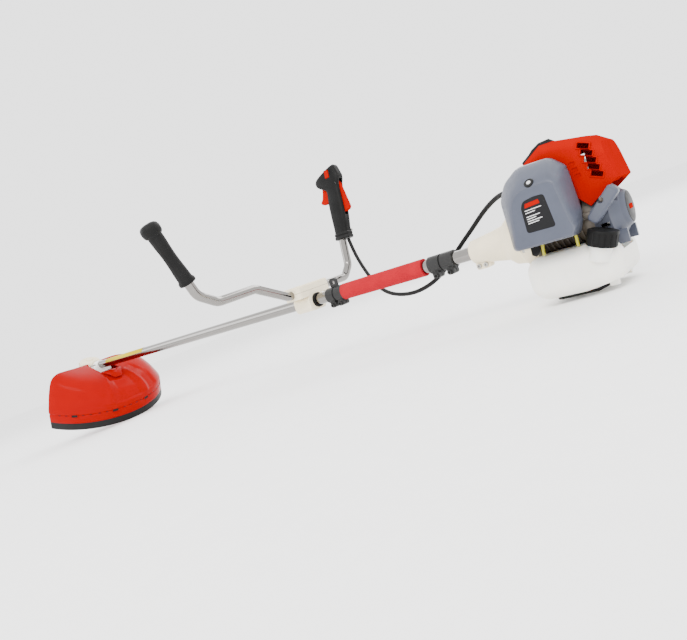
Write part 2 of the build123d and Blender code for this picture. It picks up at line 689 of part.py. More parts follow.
def muffler():
    """Pressed box bolted to the exhaust port, with a short tailpipe."""
    box = soft_block((1600, 1668), (50, 92), (46, 102), 9)
    flange = block((1614, 1654), (46, 51), (58, 86))
    tail = rod((1612, 80, 50), (1604, 82, 34), 6) - rod((1613, 80, 52), (1603, 82, 33), 4.5)
    chamber = soft_block((1602, 1666), (52, 90), (48, 100), 7)
    return box - chamber + flange + (tail - box)


# ---- fuel system ----
def carburettor():
    body = soft_block((1610, 1652), (-90, -56.1), (12, 54), 2.5)
    bowl = block((1615, 1647), (-86, -60), (4, 13))
    stop = block((1609.4, 1614), (-82, -66), (52, 70))
    body += bowl + stop
    body -= across(-95, -50, 8, CARB_X, 32)
    body -= upright(0, 60, 2 + RUNNING, CARB_X, CARB_Y)
    return body - upright(0, 13.5, 9.5, CARB_X, CARB_Y)


def carb_lever():
    """Throttle spindle with its valve disc and the arm that the cable pulls."""
    spindle = upright(20, 60, 2, CARB_X, CARB_Y)
    disc = across(CARB_Y - 0.5, CARB_Y + 0.5, 7.6, CARB_X, 32)
    arm = block((CARB_X - 3, CARB_X + 3), (CARB_Y - 16, CARB_Y + 3), (56, 59))
    return spindle + disc + fillet(arm.edges().filter_by(Axis.Z), 2.5)


def primer_bulb():
    """Rubber dome under the carburettor."""
    dome = Pos(CARB_X, CARB_Y, 1) * Sphere(8.6) & upright(-8, 1, 9, CARB_X, CARB_Y)
    return dome + upright(1, 7, 9, CARB_X, CARB_Y)


def choke_lever():
    """Flat lever on the filter base, worked from below the cover."""
    arm = side_profile([(1593, 6), (1607, 6), (1605, -26), (1598, -32), (1591, -28)], -89.5, -87)
    arm = fillet(arm.edges().filter_by(Axis.Y), 2)
    return arm + across(-92.5, -89, 3, 1600, 0)


def filter_base():
    base = block((1579, 1662), (-93, -90), (-9, 80))
    base = fillet(base.edges().filter_by(Axis.Y), 12)
    base -= across(-96, -85, 8, CARB_X, 32) + across(-96, -85, 3 + RUNNING, 1600, 0)
    return base - screw_room([COVER_SCREW])


def air_filter():
    """Foam element on the filter base."""
    foam = fillet(block((1591, 1661), (-112, -93), (6, 66)).edges().filter_by(Axis.Y), 10)
    return foam - across(-120, -90, 7, CARB_X, 32)


COVER_RIM = [
    (1558, -16), (1559, 72), (1574, 98), (1602, 116), (1654, 114), (1677, 92), (1680, 10), (1668, -17),
]
COVER_FACE = [
    (1580, -12), (1590, 56), (1597, 70), (1612, 79), (1657, 79), (1667, 72), (1677, 2), (1674, -12),
]


def lofted_cover(inset, near, far):
    """Cover shape between its rim and its face, moved inwards by inset."""
    sections = []
    for points, y in ((COVER_RIM, near), (COVER_RIM, near - 12), (COVER_FACE, far)):
        plane = Plane(origin=(0, y, 0), x_dir=(1, 0, 0), z_dir=(0, -1, 0))
        face = outline(points)
        face = offset(face, amount=-inset, kind=Kind.INTERSECTION) if inset else face
        sections.append(plane * face)
    return loft(sections, ruled=True)


def air_cleaner_cover():
    """Shell over the filter and carburettor, open towards the cylinder."""
    shell = lofted_cover(0, -64, -120) - lofted_cover(2.5, -63.9, -117.5)
    slope = Plane(origin=COVER_SCREW[0], z_dir=COVER_SCREW[1])
    boss = slope.offset(-4) * Cylinder(7.5, 10, align=(Align.CENTER, Align.CENTER, Align.MIN))
    shell -= block((1587, 1636), (-90.3, -86.2), (-20, -9))
    return shell + boss - screw_room([COVER_SCREW])


def top_cover():
    """Shroud over the cylinder, with louvres on the left and an opening for the muffler."""
    def hood(inset, y):
        side = [
            (1584 + inset, 58), (1584 + inset, 104), (1604 + inset / 2, 121 - inset),
            (1634, 139 - inset), (1656, 138 - inset), (1706, 127 - inset),
            (1727 - inset, 111 - inset), (1737 - inset, 50), (1690, 20), (1662, 52),
        ]
        return side_profile(side, -y, y)

    shell = hood(0, 51)
    top_edges = shell.edges().filter_by_position(Axis.Z, 100, 145)
    long_edges = [e for e in top_edges if abs(e.tangent_at(0.5).Y) < 0.1]
    shell = fillet(long_edges, 17)
    inner = hood(2.5, 48.5) + block((1587, 1730), (-48.5, 48.5), (15, 60))
    inner_top = inner.edges().filter_by_position(Axis.Z, 97, 145)
    inner = fillet([e for e in inner_top if abs(e.tangent_at(0.5).Y) < 0.1], 14.5)
    shell -= inner
    shell -= along_x(1684, 1760, STARTER_R + 0.6)
    shell -= block((1570, 1652), (-19, 19), (100, 150))
    shell -= block((1590, 1676), (40, 60), (30, 106))
    for row in range(5):
        slot = block((-9, 9), (-60, -40), (-4, 4))
        shell -= Pos(1703 + 2.2 * row, 0, 113 - 12 * row) * Rot(0, 24, 0) * slot
        shell -= Pos(1703 + 2.2 * row, 100, 113 - 12 * row) * Rot(0, 24, 0) * slot
    for row in range(3):
        shell -= block((1675 + 2 * row, 1684 + 2 * row), (-60, -49.6), (89 - 10 * row, 95 - 10 * row))
    return shell


# ---- starter ----
def starter_housing():
    """Domed housing with a post for the pulley, windows at the top and a foot below."""
    shell = turned([
        (STARTER_FRONT, 0), (STARTER_FRONT, STARTER_R), (1711, STARTER_R), (1726, 31), (1731, 28),
        (STARTER_REAR, 26), (STARTER_REAR, 0),
    ])
    shell += around_x(STARTER_LUG_ANGLES, STARTER_R + 2, STARTER_FRONT, 1698, LUG_R)
    shell += block((1703, 1727), (-33, 33), (-52, -30)) - block((1700, 1740), (-27, 27), (-60, -20))
    shell += across(-56, -40, 6, 1710, ROPE_Z)
    shell -= turned([
        (STARTER_FRONT - 1, 0), (STARTER_FRONT - 1, STARTER_R - 3), (1709.5, STARTER_R - 3),
        (1723.5, 29), (1728.5, 26), (STARTER_REAR - 3, 24), (STARTER_REAR - 3, 0),
    ])
    shell += along_x(1701, STARTER_REAR - 2, 4)
    shell -= across(-60, -30, ROPE_R + 0.3, 1710, ROPE_Z)
    for angle in range(35, 146, 22):
        window = Pos(1720, 0, 0) * Rot(angle - 90, 0, 0) * block((-6, 6), (-5, 5), (33, 60))
        shell -= window
    for angle in (-20, -50, 200, 230):
        shell -= Pos(1700, 0, 0) * Rot(angle - 90, 0, 0) * block((-6, 8), (-4, 4), (40, 60))
    return shell - screw_room(STARTER_SCREWS)


def starter_pulley():
    """Rope pulley with pawl posts, and the recoil spring wound behind it."""
    wheel = ring_x(1703, 1717, PULLEY_R, 4 + RUNNING)
    wheel -= ring_x(1706.5, 1713.5, PULLEY_R + 5, PULLEY_R - 5)
    wheel += along_x(1700, 1703, 4, 14, 0) + along_x(1700, 1703, 4, -14, 0)
    coils = [ring_x(1718, 1724, r, r - 1.2) for r in (12, 15, 18, 21, 24)]
    return [wheel] + coils


def starter_rope():
    """Rope from the pulley's top out through the bush to the grip."""
    return across(-57, -1, ROPE_R, 1710, ROPE_Z) + across(-62, -57, 4, 1710, ROPE_Z)


def starter_grip():
    """Bar handle lying across the housing's left side, with a recess for the rope's knot."""
    bar = fillet(block((-36, 26), (-9.5, 9.5), (0.6, 15.6)).edges().filter_by(Axis.Z), 6)
    faces = bar.faces().sort_by(Axis.Z)
    bar = fillet(faces[-1].edges(), 3.5)
    return STARTER_GRIP * bar - across(-80, -50, 5, 1710, ROPE_Z)


# ---- tank ----
def fuel_tank():
    """Moulded tank hollowed on top to clear the engine, with a sloping filler neck."""
    body = block((1560, 1716), (-TANK_HALF_WIDTH, TANK_HALF_WIDTH), (TANK_BOTTOM, TANK_TOP))
    body = fillet(body.edges().filter_by(Axis.X), 22)
    body = fillet(body.edges().filter_by(Axis.Y).sort_by(Axis.Z)[:2], 30)
    slope = side_profile([(1640, TANK_BOTTOM - 1), (1730, TANK_BOTTOM - 1), (1730, -96)], -90, 90)
    body -= slope
    room = along_x(1540, 1592.5, FLANGE_R + LUG_R + 2.5) + along_x(1590, 1674, CASE_R + 4)
    room += along_x(1673, 1740, STARTER_R + 10.5) + block((1698, 1745), (-36, 36), (-60, -30))
    room += FILLER * upright(8.5, 60, 25.5)
    body -= room
    inside = fillet(block((1566, 1700), (-68, 68), (-96, -46)).edges(), 14)
    inside -= along_x(1530, 1596, FLANGE_R + LUG_R + 6) + along_x(1586, 1678, CASE_R + 7.5)
    inside -= along_x(1669, 1740, STARTER_R + 14) + block((1694, 1745), (-40, 40), (-64, -30))
    inside -= FILLER * upright(3, 60, 30)
    neck = FILLER * upright(-14, 12, 17)
    lugs = [block((1684, 1698), (y - 5, y + 5), (-112, -98)) for y in (-45, 45)]
    body += [neck] + lugs
    body -= FILLER * upright(-11, 13, 13.5)
    body -= inside
    return body - stand_wire(WIRE_R)


def fuel_cap():
    """Ribbed screw cap."""
    cap = FILLER * fillet(upright(9, 34.5, 23.5).edges().filter_by(GeomType.CIRCLE), 2)
    for index in range(16):
        cap -= FILLER * (Rot(0, 0, 22.5 * index) * upright(6, 29.5, 1.6, x=24.3))
    return cap - FILLER * upright(0, 13, 17 + RUNNING * 4)


def fuel_lines():
    """Suction and return lines between the tank top and the carburettor."""
    suction = [(1657, -60.5, -35.5), (1658, -60.5, -19), (1655, -60.5, -4), (1649.7, -60.5, 10.5)]
    back = [(1600, -60.5, -35.5), (1601, -60.5, -20), (1606, -60.5, -5), (1612.3, -60.5, 10.5)]
    return [hose(suction, 2.5), hose(back, 2.5)]


def stand_wire(radius):
    half = 45
    points = [(1691, -half, -100), (1691, -half, -106), (1664, -half, -114), (1596, -half, -115),
              (1596, half, -115), (1664, half, -114), (1691, half, -106), (1691, half, -100)]
    path = FilletPolyline(*points, radius=[2.6, 12, 8, 8, 12, 2.6])
    return sweep(Plane(origin=path @ 0, z_dir=path % 0) * Circle(radius), path=path)


def tank_stand():
    """Bent wire foot under the tank, its ends in the tank's lugs."""
    return stand_wire(WIRE_R)


def socket_screws():
    screws = GUARD_SCREWS + BAR_SCREWS + BAND_SCREWS + NOSE_SCREWS + FLANGE_SCREWS
    screws += STARTER_SCREWS + HANDLE_SCREWS + [COVER_SCREW]
    return [socket_screw(*screw) for screw in screws]


PIECES = [
    gear_case, ball_bearings, input_pinion, output_shaft, blade_flange, cutting_blade, blade_clamp,
    blade_nut, guard_shield, guard_skirt, guard_bracket, shaft_tube, drive_shaft, shaft_bushes,
    handlebar_clamp, handlebar_cap, shaft_damper, left_handlebar, right_handlebar, left_grip,
    throttle_housing, throttle_housing_cover, throttle_trigger, throttle_lockout, stop_button,
    throttle_pins, throttle_cable, hip_sleeve, harness_clamp, cable_clamp, clutch_housing,
    clutch_drum, clutch_shoes, flywheel, crankcase, crankshaft, cylinder, piston, connecting_rod,
    spark_plug, plug_cap, ignition_coil, muffler, carburettor, carb_lever, primer_bulb, choke_lever,
    filter_base, air_filter, air_cleaner_cover, top_cover, starter_housing, starter_pulley,
    starter_rope, starter_grip, fuel_tank, fuel_cap, fuel_lines, tank_stand, socket_screws,
]


def one_shape(made):
    """A node's shape: the piece itself, or a compound of its separate solids."""
    if not isinstance(made, list):
        made = [made]
    solids = [solid for shape in made for solid in shape.solids()]
    return solids[0] if len(solids) == 1 else Compound(children=solids)


def main():
    shapes = {piece.__name__: one_shape(piece()) for piece in PIECES}
    tip = Rot(0, REST_TILT, 0)
    tipped = {name: tip * shape for name, shape in shapes.items()}
    boxes = [shape.bounding_box() for shape in tipped.values()]
    low = [min(box.min.X for box in boxes), min(box.min.Y for box in boxes), min(box.min.Z for box in boxes)]
    high = [max(box.max.X for box in boxes), max(box.max.Y for box in boxes)]
    shift = Pos(-(low[0] + high[0]) / 2, -(low[1] + high[1]) / 2, -low[2])
    os.makedirs("parts", exist_ok=True)
    for name, shape in tipped.items():
        export_step(shift * shape, f"parts/{name}.step")
    print("shaft origin in the row frame", [round(value, 3) for value in shift.position])
    print("cable bend radii", [round(r) for r in corner_radii(CABLE_ROUTE)])


main()
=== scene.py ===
"""Petrol brush cutter: materials, detailed shells, cable, camera and lights round the CAD frame.

Points are given in millimetres in the shaft frame of the CAD part: X along the tube towards the
engine, Y to the user's right, Z up. at() turns them into the row frame, in metres.
"""
import bmesh
import bpy
import json
from math import asin, cos, degrees, exp, pi, radians, sin
from mathutils import Matrix, Vector


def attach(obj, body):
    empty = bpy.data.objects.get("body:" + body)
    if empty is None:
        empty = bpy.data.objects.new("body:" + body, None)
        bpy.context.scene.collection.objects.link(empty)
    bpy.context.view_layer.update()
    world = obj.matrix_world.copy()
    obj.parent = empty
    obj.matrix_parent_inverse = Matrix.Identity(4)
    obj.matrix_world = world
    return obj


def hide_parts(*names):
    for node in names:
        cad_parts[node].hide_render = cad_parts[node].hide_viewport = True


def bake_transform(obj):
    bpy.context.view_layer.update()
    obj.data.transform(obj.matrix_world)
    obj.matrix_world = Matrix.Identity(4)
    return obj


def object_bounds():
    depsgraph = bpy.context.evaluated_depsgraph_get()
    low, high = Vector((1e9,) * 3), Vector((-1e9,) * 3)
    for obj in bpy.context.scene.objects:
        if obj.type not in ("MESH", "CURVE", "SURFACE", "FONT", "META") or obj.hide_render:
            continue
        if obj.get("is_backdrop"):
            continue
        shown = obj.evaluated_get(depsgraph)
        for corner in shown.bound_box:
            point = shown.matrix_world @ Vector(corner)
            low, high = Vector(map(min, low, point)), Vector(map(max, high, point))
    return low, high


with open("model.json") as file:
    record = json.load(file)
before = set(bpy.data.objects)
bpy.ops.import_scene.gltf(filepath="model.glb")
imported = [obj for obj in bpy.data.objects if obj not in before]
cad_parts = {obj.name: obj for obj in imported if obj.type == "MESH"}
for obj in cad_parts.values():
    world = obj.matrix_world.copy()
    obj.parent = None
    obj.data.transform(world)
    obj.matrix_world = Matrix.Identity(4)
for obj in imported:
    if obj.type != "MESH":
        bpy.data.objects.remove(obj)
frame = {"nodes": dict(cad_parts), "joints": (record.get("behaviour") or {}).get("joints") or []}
cad_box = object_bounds()
JOINTS = {joint["name"]: joint for joint in frame["joints"]}


# ---- the shaft frame ----
ALONG = Vector(JOINTS["drive_shaft_spin"]["axis"]).normalized()
RIGHT = Vector((0, 1, 0))
ABOVE = ALONG.cross(RIGHT)
ORIGIN = Vector(JOINTS["drive_shaft_spin"]["pos_m"])


def way(x, y, z):
    """A direction given in the shaft frame, in the row frame."""
    return ALONG * x + RIGHT * y + ABOVE * z


def at(x, y, z):
    """A point given in the shaft frame in millimetres, in the row frame in metres."""
    return ORIGIN + way(x, y, z) / 1000


class Local:
    """A frame placed in the shaft frame; calling it turns its own millimetres into the row frame."""

    def __init__(self, origin, x_dir, z_dir):
        self.origin = Vector(origin)
        self.z = Vector(z_dir).normalized()
        self.x = (Vector(x_dir) - self.z * self.z.dot(Vector(x_dir))).normalized()
        self.y = self.z.cross(self.x)

    def __call__(self, x, y, z):
        return at(*(self.origin + self.x * x + self.y * y + self.z * z))


LEAN = radians(22.5)      # how far the guard leans back from square to the tube
GUARD = Local((-50, 0, 0), (cos(LEAN), 0, -sin(LEAN)), (sin(LEAN), 0, cos(LEAN)))
HANDLE = Local((1012, 193 + 41 * 20 / 111, 133), (1, 0, 0), (0, 20, 111))
SHAFT = Local((0, 0, 0), (1, 0, 0), (0, 0, 1))
CRANK = Local((0, 0, 0), (0, 1, 0), (1, 0, 0))


# ---- camera ----
def set_camera():
    """The camera from the left of the engine, aimed along its own right, up and back directions."""
    right = way(0.74763, 0.58398, -0.31626)
    up = way(0.19471, 0.26254, 0.94507)
    back = way(0.63493, -0.76814, 0.08258)
    turn = Matrix((right, up, back)).transposed().to_4x4()
    lens = bpy.data.cameras.new("camera")
    lens.lens = 31.44
    lens.sensor_width = 36
    lens.sensor_fit = "HORIZONTAL"
    lens.clip_end = 50
    camera = bpy.data.objects.new("camera", lens)
    camera.matrix_world = Matrix.Translation(at(1964.0, -1054.2, 51.5)) @ turn
    bpy.context.scene.collection.objects.link(camera)
    bpy.context.scene.camera = camera


set_camera()


# ---- materials ----
def shader(name):
    """A new material with its nodes, links and principled shader."""
    made = bpy.data.materials.new(name)
    made.use_nodes = True
    return made, made.node_tree.nodes, made.node_tree.links, made.node_tree.nodes["Principled BSDF"]


def noise(nodes, links, place, scale, detail):
    """Smooth noise sampled at a place."""
    node = nodes.new("ShaderNodeTexNoise")
    node.inputs["Scale"].default_value = scale
    node.inputs["Detail"].default_value = detail
    links.new(place, node.inputs["Vector"])
    return node.outputs["Fac"]


def spread(nodes, links, value, low, high, from_low=0.3, from_high=0.7):
    """A value's range from_low to from_high stretched to low to high."""
    node = nodes.new("ShaderNodeMapRange")
    node.inputs["From Min"].default_value = from_low
    node.inputs["From Max"].default_value = from_high
    node.inputs["To Min"].default_value = low
    node.inputs["To Max"].default_value = high
    links.new(value, node.inputs["Value"])
    return node.outputs["Result"]


def blend_colours(nodes, links, factor, first, second):
    """A mix of two colours, each a fixed one or another node's output."""
    node = nodes.new("ShaderNodeMix")
    node.data_type = "RGBA"
    links.new(factor, node.inputs["Factor"])
    for socket, colour in ((node.inputs["A"], first), (node.inputs["B"], second)):
        if isinstance(colour, tuple):
            socket.default_value = (*colour, 1)
        else:
            links.new(colour, socket)
    return node.outputs["Result"]


def relief(nodes, links, skin, height, strength, distance):
    """Small bumps on a shader from a height, with their depth in metres."""
    node = nodes.new("ShaderNodeBump")
    node.inputs["Strength"].default_value = strength
    node.inputs["Distance"].default_value = distance
    links.new(height, node.inputs["Height"])
    links.new(node.outputs["Normal"], skin.inputs["Normal"])


def surface(name, colour, rough, grain=900.0, depth=0.00004, vary=0.10, wear=0.25, metal=0.0,
            coat=0.0, bump=0.5, stretch=None, cells=False, shine=0.5):
    """Plastic, paint, rubber or metal: mottled colour, grain in relief, uneven gloss, worn edges."""
    made, nodes, links, skin = shader(name)
    where = nodes.new("ShaderNodeTexCoord").outputs["Object"]
    if stretch:
        squeeze = nodes.new("ShaderNodeMapping")
        squeeze.inputs["Scale"].default_value = stretch
        links.new(where, squeeze.inputs["Vector"])
        where = squeeze.outputs["Vector"]
    mottle = noise(nodes, links, where, 35.0, 6.0)
    dark = tuple(c * (1 - vary) for c in colour)
    light = tuple(min(1.0, c * (1 + vary)) for c in colour)
    tint = blend_colours(nodes, links, spread(nodes, links, mottle, 0, 1), dark, light)
    if wear:
        edges = nodes.new("ShaderNodeNewGeometry").outputs["Pointiness"]
        edge = spread(nodes, links, edges, 0, wear, 0.505, 0.57)
        pale = tuple(c * 0.55 + 0.4 * (0.2 + max(colour)) for c in colour)
        tint = blend_colours(nodes, links, edge, tint, pale)
    links.new(tint, skin.inputs["Base Color"])
    gloss = noise(nodes, links, where, 160.0, 3.0)
    links.new(spread(nodes, links, gloss, rough * 0.85, min(1, rough * 1.18)), skin.inputs["Roughness"])
    skin.inputs["Metallic"].default_value = metal
    skin.inputs["Specular IOR Level"].default_value = shine
    skin.inputs["Coat Weight"].default_value = coat
    skin.inputs["Coat Roughness"].default_value = 0.2
    if cells:
        pits = nodes.new("ShaderNodeTexVoronoi")
        pits.inputs["Scale"].default_value = grain
        links.new(where, pits.inputs["Vector"])
        height = pits.outputs["Distance"]
    else:
        height = noise(nodes, links, where, grain, 3.0)
    relief(nodes, links, skin, height, bump, depth)
    return made


def milky(name, colour):
    """Blow-moulded tank plastic: light comes a little way into it."""
    made = surface(name, colour, 0.38, grain=500, depth=0.00005, vary=0.03, wear=0.0)
    skin = made.node_tree.nodes["Principled BSDF"]
    skin.inputs["Subsurface Weight"].default_value = 0.5
    skin.inputs["Subsurface Radius"].default_value = (0.012, 0.010, 0.008)
    skin.inputs["Subsurface Scale"].default_value = 0.5
    return made


def braided(name, colour):
    """Cord braided from coarse strands."""
    made = surface(name, colour, 0.8, vary=0.2, wear=0.0)
    nodes, links = made.node_tree.nodes, made.node_tree.links
    weave = nodes.new("ShaderNodeTexWave")
    weave.bands_direction = "DIAGONAL"
    weave.inputs["Scale"].default_value = 180
    weave.inputs["Distortion"].default_value = 3
    links.new(nodes.new("ShaderNodeTexCoord").outputs["Object"], weave.inputs["Vector"])
    relief(nodes, links, nodes["Principled BSDF"], weave.outputs["Fac"], 0.8, 0.0005)
    return made


RED = surface("guard_red", (0.27, 0.0, 0.0), 0.17, grain=500, depth=0.00001, vary=0.03,
              wear=0.0, shine=0.03)
ORANGE_RED = surface("cover_red", (0.30, 0.002, 0.0), 0.30, grain=900, vary=0.04,
                     wear=0.0, shine=0.0)
SLEEVE_RED = surface("sleeve_red", (0.32, 0.008, 0.016), 0.62, grain=1500, depth=0.00012, vary=0.08,
                     wear=0.0, shine=0.02)
BLACK = surface("black_plastic", (0.007, 0.007, 0.007), 0.42, grain=1300, depth=0.00008, vary=0.25,
                wear=0.1, shine=0.06)
BLACK_PAINT = surface("black_cast", (0.009, 0.009, 0.009), 0.34, grain=420, depth=0.00016, vary=0.25,
                      wear=0.2, shine=0.08)
RUBBER = surface("black_rubber", (0.008, 0.008, 0.008), 0.50, grain=1600, depth=0.00002, vary=0.2,
                 wear=0.0, shine=0.08)
CHROME = surface("chrome", (0.21, 0.20, 0.19), 0.12, grain=300, depth=0.00001, vary=0.04,
                 wear=0.0, metal=1.0, bump=0.2, stretch=(1, 12, 12))
STEEL = surface("machined_steel", (0.42, 0.41, 0.40), 0.30, grain=900, depth=0.00004, vary=0.10,
                metal=1.0, stretch=(1, 1, 8))
BLADE = surface("blade_steel", (0.34, 0.34, 0.35), 0.34, grain=1500, depth=0.00004, vary=0.18,
                metal=1.0, stretch=(6, 1, 1))
ZINC = surface("zinc_steel", (0.36, 0.35, 0.33), 0.34, grain=600, depth=0.00004, vary=0.16, metal=1.0)
CAST = surface("cast_alloy", (0.40, 0.40, 0.41), 0.44, grain=480, depth=0.00018, vary=0.12, metal=0.9)
CREAM = surface("cream_cast", (0.80, 0.70, 0.50), 0.42, grain=420, depth=0.00014, vary=0.05,
                wear=0.15, shine=0.3)
WHITE = surface("white_plastic", (0.86, 0.85, 0.82), 0.42, grain=900, vary=0.04, wear=0.0, shine=0.3)
GREY = surface("grey_cover", (0.060, 0.067, 0.092), 0.36, grain=1100, depth=0.00006, vary=0.06,
               wear=0.12, shine=0.22)
TAUPE = surface("engine_cast", (0.085, 0.068, 0.050), 0.50, grain=380, depth=0.00022, vary=0.20,
                wear=0.35, metal=0.3, shine=0.3)
HOSE = surface("fuel_hose", (0.50, 0.46, 0.04), 0.30, grain=800, vary=0.10, wear=0.0, shine=0.2)
FOAM = surface("filter_foam", (0.03, 0.03, 0.03), 0.95, grain=700, depth=0.0009, vary=0.3,
               wear=0.0, bump=1.0, cells=True, shine=0.1)
SOOT = surface("muffler_steel", (0.08, 0.07, 0.065), 0.52, grain=520, depth=0.00010, vary=0.35,
               metal=0.6)
CERAMIC = surface("plug_ceramic", (0.82, 0.81, 0.78), 0.15, grain=300, depth=0.00001, vary=0.03,
                  wear=0.0, coat=0.5)
YELLOW = surface("yellow_band", (0.50, 0.38, 0.0), 0.32, grain=900, vary=0.05, wear=0.0, shine=0.02)
DARK_PLATE = surface("dark_plate", (0.012, 0.012, 0.013), 0.35, grain=900, vary=0.08,
                     wear=0.0, shine=0.06)
PALE = surface("pale_print", (0.60, 0.60, 0.60), 0.40, grain=900, vary=0.03, wear=0.0, shine=0.1)
TANK = milky("tank_plastic", (0.86, 0.84, 0.78))
ROPE = braided("braided_rope", (0.16, 0.13, 0.11))

FINISH = {
    RED: ["guard_shield"],
    BLACK: ["guard_skirt", "throttle_housing", "throttle_housing_cover",
            "ignition_coil", "choke_lever", "filter_base", "starter_pulley", "fuel_cap"],
    BLACK_PAINT: ["harness_clamp", "cable_clamp", "tank_stand"],
    RUBBER: ["left_grip", "shaft_damper", "shaft_bushes", "plug_cap", "primer_bulb", "throttle_cable"],
    SOOT: ["muffler"],
    CHROME: ["shaft_tube", "left_handlebar", "right_handlebar", "ball_bearings"],
    STEEL: ["input_pinion", "output_shaft", "drive_shaft", "clutch_drum", "clutch_shoes", "crankshaft",
            "connecting_rod", "throttle_pins"],
    BLADE: ["cutting_blade"],
    ZINC: ["blade_flange", "blade_clamp", "blade_nut", "carb_lever", "socket_screws"],
    CAST: ["flywheel", "cylinder", "piston", "carburettor"],
    CREAM: ["gear_case", "clutch_housing", "handlebar_clamp", "handlebar_cap"],
    WHITE: ["guard_bracket"],
    GREY: ["air_cleaner_cover", "starter_housing", "starter_grip"],
    ORANGE_RED: ["top_cover", "stop_button", "throttle_trigger", "throttle_lockout"],
    SLEEVE_RED: ["hip_sleeve"],
    TAUPE: ["crankcase"],
    HOSE: ["fuel_lines"],
    FOAM: ["air_filter"],
    CERAMIC: ["spark_plug"],
    TANK: ["fuel_tank"],
    ROPE: ["starter_rope"],
}
BLACK_SCREWS = (1080, 1410)     # the clamps' screws, by their place along the tube


def dress():
    """Every CAD piece takes its finish; the clamps' screws are black, the others plain."""
    for finish, names in FINISH.items():
        for name in names:
            mesh = frame["nodes"][name].data
            mesh.materials.clear()
            mesh.materials.append(finish)
    screws = frame["nodes"]["socket_screws"]
    screws.data.materials.append(BLACK_PAINT)
    for face in screws.data.polygons:
        place = (screws.matrix_world @ face.center - ORIGIN).dot(ALONG) * 1000
        if BLACK_SCREWS[0] < place < BLACK_SCREWS[1]:
            face.material_index = 1


dress()


# ---- the throttle cable ----
CABLE_ROUTE = [
    (1031.4, 197.6, 118.8), (1040, 191, 80), (1065, 172, 40), (1094, 149, 8), (1124, 126, -17),
    (1162, 103, -37), (1206, 81, -47), (1254, 61, -50), (1300, 43, -44), (1342, 31, -31),
    (1380, 26, -8), (1416, 24, 20), (1452, 20, 44), (1490, 7, 68), (1526, -14, 82),
    (1557, -40, 86), (1582, -62, 80), (1604, -74, 67),
]


def throttle_cable():
    """The cable's outer hose, from the throttle handle down under the tube and up to the engine."""
    line = bpy.data.curves.new("cable", "CURVE")
    line.dimensions = "3D"
    line.bevel_depth = 0.0045
    line.bevel_resolution = 6
    line.resolution_u = 12
    line.use_fill_caps = True
    run = line.splines.new("NURBS")
    run.points.add(len(CABLE_ROUTE) - 1)
    for point, place in zip(run.points, CABLE_ROUTE):
        point.co = (*at(*place), 1)
    run.order_u = 3
    run.use_endpoint_u = True
    line.materials.append(RUBBER)
    cable = bpy.data.objects.new("cable", line)
    bpy.context.scene.collection.objects.link(cable)
    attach(cable, "machine")
    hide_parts("throttle_cable")
    at(*CABLE_ROUTE[0])


throttle_cable()


# ---- mesh helpers ----
def piece(name, points, faces, finish, body="machine", thick=0.0, smooth=38, bevel=0.0):
    """A mesh piece riding on a body; thick and bevel add modifiers, in metres."""
    mesh = bpy.data.meshes.new(name)
    mesh.from_pydata([tuple(p) for p in points], [], faces)
    work = bmesh.new()
    work.from_mesh(mesh)
    bmesh.ops.remove_doubles(work, verts=work.verts, dist=0.00001)
    bmesh.ops.recalc_face_normals(work, faces=work.faces)
    work.to_mesh(mesh)
    work.free()
    mesh.shade_smooth()
    mesh.set_sharp_from_angle(angle=radians(smooth))
    mesh.materials.append(finish)
    made = bpy.data.objects.new(name, mesh)
    bpy.context.scene.collection.objects.link(made)
    if thick:
        shell = made.modifiers.new("wall", "SOLIDIFY")
        shell.thickness = thick
        shell.offset = -1
        shell.use_even_offset = True
    if bevel:
        ease = made.modifiers.new("ease", "BEVEL")
        ease.width = bevel
        ease.segments = 3
        ease.limit_method = "ANGLE"
        ease.angle_limit = radians(32)
    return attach(made, body) if body else made


def strip_faces(rows, columns, closed=False, start=0):
    """Quads between rows of the same number of points."""
    faces = []
    wrap = columns if closed else columns - 1
    for row in range(rows - 1):
        for column in range(wrap):
            after = (column + 1) % columns
            a, b = start + row * columns, start + (row + 1) * columns
            faces.append((a + column, a + after, b + after, b + column))
    return faces


def lathe(name, place, profile, finish, body="machine", sides=64, bevel=0.0, smooth=38, ripple=None):
    """A closed outline of (radius, z) turned about z of a local frame."""
    points, count = [], len(profile)
    for step in range(sides):
        angle = 2 * pi * step / sides
        for index, (radius, z) in enumerate(profile):
            r = radius + (ripple(index, angle) if ripple else 0)
            points.append(place(r * cos(angle), r * sin(angle), z))
    faces = []
    for step in range(sides):
        after = (step + 1) % sides
        for index in range(count - 1):
            faces.append((step * count + index, after * count + index,
                          after * count + index + 1, step * count + index + 1))
    return piece(name, points, faces, finish, body, bevel=bevel, smooth=smooth)


def rounded(points, radius, steps=5):
    """Corners of a closed (u, v) outline turned into arcs, edges kept straight."""
    out, count = [], len(points)
    for index in range(count):
        before, here, after = (Vector(points[(index + k) % count]) for k in (-1, 0, 1))
        one, two = (before - here), (after - here)
        reach = min(radius, one.length * 0.46, two.length * 0.46)
        start, end = here + one.normalized() * reach, here + two.normalized() * reach
        for step in range(steps + 1):
            t = step / steps
            out.append(start * (1 - t) ** 2 + here * 2 * t * (1 - t) + end * t ** 2)
    return out


def stacked(name, place, rings, finish, body="machine", close=True, **options):
    """Rings of (u, v, w) points, each as long as the last, skinned into one piece."""
    columns = len(rings[0])
    points = [place(*p) for ring in rings for p in ring]
    faces = strip_faces(len(rings), columns, closed=True)
    if close:
        faces += [tuple(range(columns)), tuple(range(len(points) - columns, len(points)))]
    return piece(name, points, faces, finish, body, **options)


def layers(shape, heights):
    """An outline of (u, v) repeated at several heights, as (u, v, height)."""
    return [[(u, v, height) for u, v in shape] for height in heights]


def upright_layers(shape, depths):
    """An outline of (x, z) repeated at several depths across the machine, as (x, depth, z)."""
    return [[(x, depth, z) for x, z in shape] for depth in depths]


